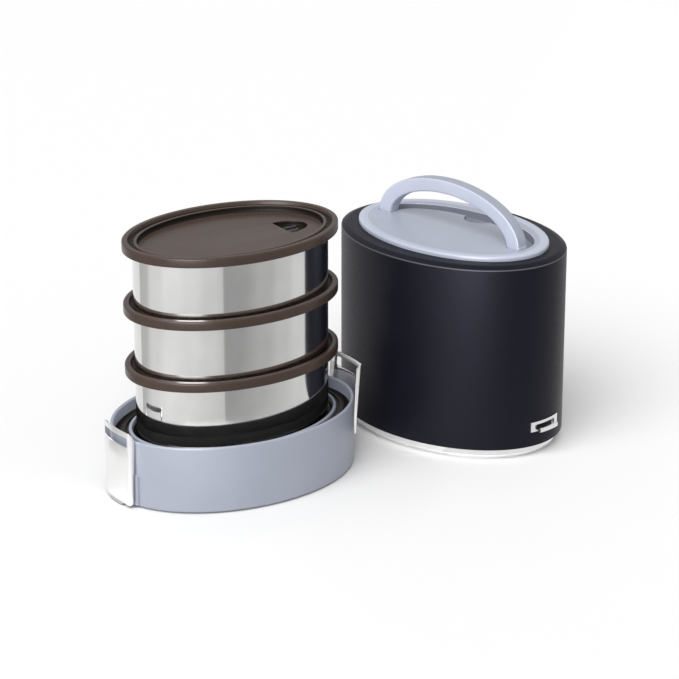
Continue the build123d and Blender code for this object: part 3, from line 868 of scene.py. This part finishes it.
def make_handle():
    """Arched carrying handle with rounded edges and a round boss at each foot."""
    bm = bmesh.new()
    boss = [(HANDLE_BACK * math.cos(t), PIVOT_Z - HANDLE_BACK * math.sin(t)) for t in steps(1.45, 0.0, 9)]
    rings = [handle_section(bm, 1, z, z, -reach, reach) for reach, z in boss]
    for t in steps(0, math.pi, 97):
        z_in = PIVOT_Z + ARCH_IN_RISE + ARCH_IN[1] * math.sin(t)
        z_out = PIVOT_Z + ARCH_OUT_RISE + ARCH_OUT[1] * math.sin(t)
        rings.append(handle_section(bm, math.cos(t), z_in, z_out, -HANDLE_FRONT, HANDLE_BACK))
    rings += [handle_section(bm, -1, z, z, -reach, reach) for reach, z in reversed(boss)]
    for first, second in zip(rings, rings[1:]):
        bridge(bm, first, second)
    bm.faces.new(rings[0])
    bm.faces.new(rings[-1])
    # The handle gets a lighter copy of the lavender, as if lit from the front, and its outer top face a darker
    # copy: painted highlight and painted shade.
    tone_faces(bm, on_handle_top)
    piece("carry_handle", bm, "handle", LIT_HANDLE_LAVENDER, "handle", place=COVER_PLACE, tones=[SHADED_TOP_LAVENDER])


# ---- stage ----
CAMERA_AT = Vector((-0.9513, -1.5423, 0.78475))
KEY_FROM = (-0.557, -0.321, 0.766)
REFLECTOR_BANDS = [     # degrees that a steel wall faces, and how bright it looks there
    (-180, 0.60), (-162, 0.88), (-145, 1.00), (-129, 0.92), (-118, 0.82), (-109.2, 0.72),
    (-108.9, 0.42), (-94, 0.55), (-86, 0.67), (-78, 0.79), (-66, 0.86), (-40, 0.90),
]


def stage_material(name, grey, glow=0.0, specular=0.25):
    """Plain grey matt surface, which may glow."""
    material = bpy.data.materials.new(name)
    material.use_nodes = True
    shader = material.node_tree.nodes["Principled BSDF"]
    shader.inputs["Base Color"].default_value = (grey, grey, grey, 1)
    shader.inputs["Roughness"].default_value = 0.6
    shader.inputs["Specular IOR Level"].default_value = specular
    shader.inputs["Emission Color"].default_value = (1, 1, 1, 1)
    shader.inputs["Emission Strength"].default_value = glow
    return material


def stage_piece(name, bm, material):
    """Object of the stage, written in metres."""
    mesh = bpy.data.meshes.new(name)
    bm.to_mesh(mesh)
    bm.free()
    mesh.materials.append(material)
    made = bpy.data.objects.new(name, mesh)
    bpy.context.scene.collection.objects.link(made)
    return made


def stage_card(name, bm, material):
    """Object of the stage that only shows in reflections."""
    card = stage_piece(name, bm, material)
    card.visible_camera = False
    card.visible_diffuse = False
    card.visible_shadow = False
    card.visible_transmission = False


def make_floor():
    """Wide pale floor."""
    bm = bmesh.new()
    bm.faces.new(loop(bm, oval_points((6.0, 6.0), 96), -0.00005))
    stage_piece("floor", bm, stage_material("mat_floor", 0.62, glow=0.03))


def reflected_line(bm, facing):
    """The line on the floor that a camera sees in a container's wall, where the wall faces that way."""
    turn = math.radians(facing)
    normal = Vector((math.cos(turn), math.sin(turn)))
    spot = Vector((CAN[0] ** 2 * normal.x, CAN[1] ** 2 * normal.y))
    spot *= MM / math.hypot(CAN[0] * normal.x, CAN[1] * normal.y)
    ray = (spot - CAMERA_AT.xy).normalized()
    ray -= 2 * ray.dot(normal) * normal
    return [bm.verts.new((*(spot + ray * reach), 0.003)) for reach in (0.10, 1.4)]


def make_reflector():
    """Card on the floor in front of the steel walls. It is brighter or darker by the direction
    that a wall faces, which gives polished steel its upright light and dark bands."""
    bm = bmesh.new()
    glow = bm.verts.layers.float_color.new("glow")
    lines = []
    for facing, level in REFLECTOR_BANDS:
        lines.append(reflected_line(bm, facing))
        for v in lines[-1]:
            v[glow] = (level, level, level, 1)
    for first, second in zip(lines, lines[1:]):
        bm.faces.new((first[0], first[1], second[1], second[0]))
    material = stage_material("mat_reflector", 0.0, glow=1.0, specular=0.0)
    level = add_node(material, "VertexColor", layer_name="glow")
    shader = material.node_tree.nodes["Principled BSDF"]
    material.node_tree.links.new(level.outputs["Color"], shader.inputs["Emission Color"])
    stage_card("reflector", bm, material)


def make_painted_shade_rings():
    """Dark rings round the inside of the base's rim and of its lip, seen only in reflections: painted
    shade. In the lowest container's steel they show as a dark reflection instead of the pale plastic."""
    rim_top = box_mm("base_outer_shell")[1].z
    seal_floor = box_mm("base_seal_ring")[1].z - RIDGE_HEIGHT
    lip_low, lip_high = box_mm("base_lip_ring")
    bm = bmesh.new()
    sweep(bm, SEAL, [(0.3, seal_floor + 0.1), (0.3, rim_top + 1.0)])
    sweep(bm, LIP, [(2.8, lip_low.z), (2.8, lip_high.z + 5.0)])
    bm.transform(Matrix.Scale(MM, 4))
    stage_card("painted_shade_rings", bm, stage_material("mat_painted_shade_rings", 0.035, specular=0.0))


def make_softbox():
    """Upright card at the front left, seen as a broad soft highlight on the painted cover."""
    middle = Vector((-0.62, -0.66))
    across = Vector((middle.y, -middle.x)).normalized() * 0.26
    low = 0.02
    high = 0.75
    left = middle - across
    right = middle + across
    bm = bmesh.new()
    corners = [(left, low), (right, low), (right, high), (left, high)]
    bm.faces.new([bm.verts.new((p.x, p.y, z)) for p, z in corners])
    stage_card("softbox", bm, stage_material("mat_softbox", 0.0, glow=14.0))


def make_light():
    """Pale surroundings and a large soft light from the upper left."""
    world = bpy.data.worlds.new("surroundings")
    bpy.context.scene.world = world
    world.use_nodes = True
    background = world.node_tree.nodes["Background"]
    background.inputs["Color"].default_value = (1, 1, 1, 1)
    background.inputs["Strength"].default_value = 0.64
    data = bpy.data.lights.new("key_light", "SUN")
    data.energy = 3.9
    data.angle = math.radians(56)
    light = bpy.data.objects.new("key_light", data)
    light.rotation_euler = Vector(KEY_FROM).to_track_quat("Z", "Y").to_euler()
    bpy.context.scene.collection.objects.link(light)


def make_camera():
    """Camera at the photograph's viewing angle."""
    data = bpy.data.cameras.new("camera")
    data.lens = 149.0
    data.sensor_width = 36.0
    data.clip_end = 30.0
    camera = bpy.data.objects.new("camera", data)
    camera.location = CAMERA_AT
    camera.rotation_euler = (math.radians(69.24), 0, math.radians(-34.0))
    bpy.context.scene.collection.objects.link(camera)
    bpy.context.scene.camera = camera


dress_cad_nodes()
make_base_shell()
make_base_seal()
make_base_lip()
make_bowl()
make_clip("left", math.pi)
make_clip("right", 0)
for number in (1, 2, 3):
    make_container(number)
    make_lid(number)
make_vent_plug()
make_cover_shell()
make_cover_ring()
make_panel()
make_handle()
make_floor()
make_reflector()
make_painted_shade_rings()
make_softbox()
make_light()
make_camera()
bpy.context.scene.view_settings.view_transform = "Standard"
